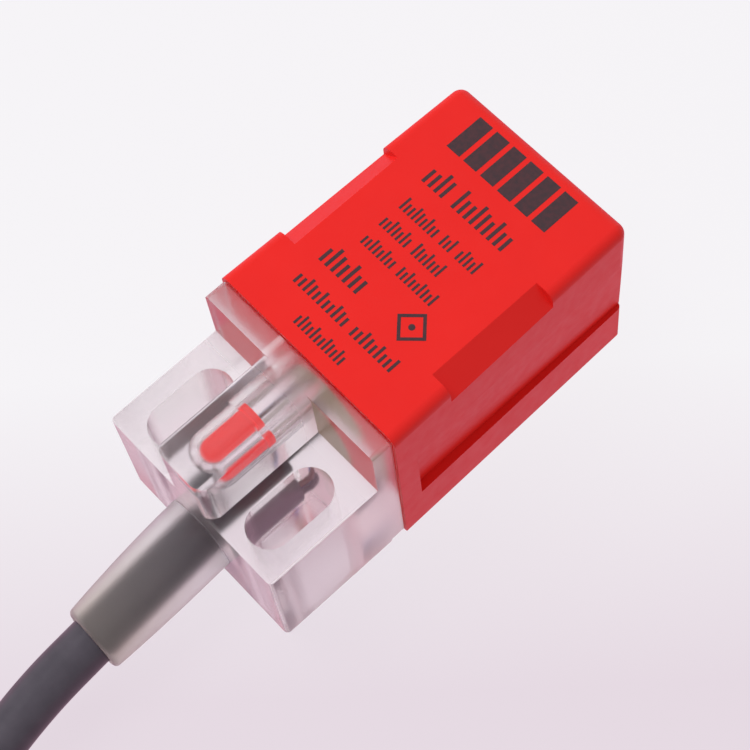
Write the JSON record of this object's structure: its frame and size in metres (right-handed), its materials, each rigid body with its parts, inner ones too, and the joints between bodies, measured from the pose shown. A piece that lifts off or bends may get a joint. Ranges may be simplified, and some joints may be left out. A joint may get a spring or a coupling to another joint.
{
  "type": "square inductive proximity sensor",
  "caption": "Red square-bodied inductive proximity sensor with a clear slotted mounting tail, an indicator lamp under a clear rib and a short grey cable.",
  "frame": {"origin": "on the flat mounting face, midway between the two screw slots", "axes": "+X across the body, +Y out of the sensing end, +Z out of the printed face, away from the mounting face"},
  "size_m": [0.0194, 0.0747, 0.018],
  "materials": {
    "housing_red": "smooth moulded, semi-gloss",
    "clear_plastic": "clear moulded, polished",
    "lamp_red": "tinted translucent epoxy, polished",
    "sleeve_clear": "milky flexible vinyl, satin",
    "cable_grey": "extruded vinyl, satin",
    "insulation_brown": "extruded vinyl, satin",
    "insulation_blue": "extruded vinyl, satin",
    "insulation_black": "extruded vinyl, satin",
    "tinned_copper": "tinned, bright",
    "ferrite": "pressed and sintered, matt",
    "bobbin_plastic": "moulded, satin",
    "copper_winding": "enamelled wire, satin",
    "board_green": "solder mask, satin",
    "chip_black": "moulded epoxy, matt",
    "capacitor_ceramic": "fired ceramic, satin",
    "capacitor_yellow": "moulded epoxy, satin",
    "resistor_black": "glazed film, satin",
    "diode_glass": "fused glass, polished",
    "potting_resin": "cast resin, satin"
  },
  "bodies": {
    "root": {"housing": "housing_red", "rear_cap": "clear_plastic", "strain_relief_sleeve": "sleeve_clear", "cable_jacket": "cable_grey", "brown_core": "insulation_brown", "blue_core": "insulation_blue", "black_core": "insulation_black", "brown_conductor": "tinned_copper", "blue_conductor": "tinned_copper", "black_conductor": "tinned_copper", "indicator_lamp": "lamp_red", "lamp_anode_leg": "tinned_copper", "lamp_cathode_leg": "tinned_copper", "ferrite_core": "ferrite", "coil_bobbin": "bobbin_plastic", "coil_winding": "copper_winding", "coil_lead_start": "copper_winding", "coil_lead_finish": "copper_winding", "circuit_board": "board_green", "oscillator_chip": "chip_black", "output_transistor": "chip_black", "tuning_capacitor": "capacitor_ceramic", "decoupling_capacitor": "capacitor_ceramic", "supply_capacitor": "capacitor_yellow", "trim_resistor": "resistor_black", "bias_resistor": "resistor_black", "lamp_resistor": "resistor_black", "load_resistor": "resistor_black", "polarity_diode": "diode_glass", "clamp_diode": "diode_glass", "potting_resin": "potting_resin"}
  },
  "joints": []
}
